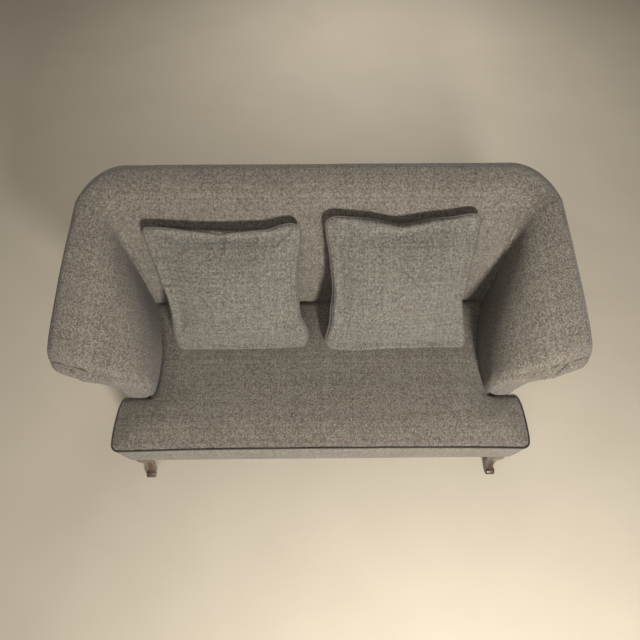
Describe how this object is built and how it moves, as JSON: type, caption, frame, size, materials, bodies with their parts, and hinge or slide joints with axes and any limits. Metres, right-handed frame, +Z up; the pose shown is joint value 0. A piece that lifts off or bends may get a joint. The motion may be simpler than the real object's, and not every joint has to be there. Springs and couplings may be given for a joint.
{
  "type": "rolled arm sofa",
  "caption": "Tight-seat settee with a T-shaped seat, outward rolled arms joined to a rolled back, short curved wooden legs and loose knife-edge scatter pillows.",
  "frame": {"origin": "on the floor, midway between the arms and midway between toe and back", "axes": "+X to the sitter's left-hand side as seen from the front, +Y from the front edge towards the back, +Z up"},
  "size_m": [1.7528, 0.897, 0.893],
  "materials": {
    "cover_fabric": "coarse plain weave with light and dark slubs",
    "pillow_fabric": "coarse plain weave with light and dark slubs",
    "welt_fabric": "dark cord cover",
    "leg_wood": "walnut, satin lacquer",
    "frame_wood": "bare beech",
    "padding": "foam and felt",
    "jute": "jute webbing, hessian and card",
    "steel": "plain steel",
    "dust_cloth": "black dust cloth"
  },
  "bodies": {
    "sofa": {"front_rail": "frame_wood", "left_side_rail": "frame_wood", "right_side_rail": "frame_wood", "rear_rail": "frame_wood", "back_seat_rail": "frame_wood", "seat_braces": "frame_wood", "front_corner_blocks": "frame_wood", "rear_corner_blocks": "frame_wood", "corner_screws": "steel", "frame_tenons": "frame_wood", "front_left_leg": "leg_wood", "front_right_leg": "leg_wood", "rear_left_leg": "leg_wood", "rear_right_leg": "leg_wood", "leg_bolts": "steel", "leg_glides": "steel", "left_arm_seat_rail": "frame_wood", "right_arm_seat_rail": "frame_wood", "left_front_arm_post": "frame_wood", "right_front_arm_post": "frame_wood", "left_rear_arm_post": "frame_wood", "right_rear_arm_post": "frame_wood", "left_arm_board": "frame_wood", "right_arm_board": "frame_wood", "left_back_post": "frame_wood", "centre_back_post": "frame_wood", "right_back_post": "frame_wood", "back_top_rail": "frame_wood", "seat_springs": "steel", "spring_clips": "steel", "seat_hessian": "jute", "seat_pad": "padding", "seat_top_panel": "cover_fabric", "seat_border": "cover_fabric", "seat_welt": "welt_fabric", "back_webbing": "jute", "back_pad": "padding", "back_cover": "cover_fabric", "outside_back_board": "jute", "left_arm_pad": "padding", "right_arm_pad": "padding", "left_arm_cover": "cover_fabric", "right_arm_cover": "cover_fabric", "left_outside_arm_board": "jute", "right_outside_arm_board": "jute", "dust_cover": "dust_cloth"},
    "left_pillow": {"left_pillow_front_panel": "pillow_fabric", "left_pillow_back_panel": "pillow_fabric", "left_pillow_insert": "padding", "left_pillow_welt": "pillow_fabric"},
    "right_pillow": {"right_pillow_front_panel": "pillow_fabric", "right_pillow_back_panel": "pillow_fabric", "right_pillow_insert": "padding", "right_pillow_welt": "pillow_fabric"}
  },
  "joints": [
    {"name": "left_pillow_lift", "type": "slide", "parent": "sofa", "child": "left_pillow", "axis": [0, 0, 1], "range_m": [0, 0.35]},
    {"name": "right_pillow_lift", "type": "slide", "parent": "sofa", "child": "right_pillow", "axis": [0, 0, 1], "range_m": [0, 0.35]}
  ]
}
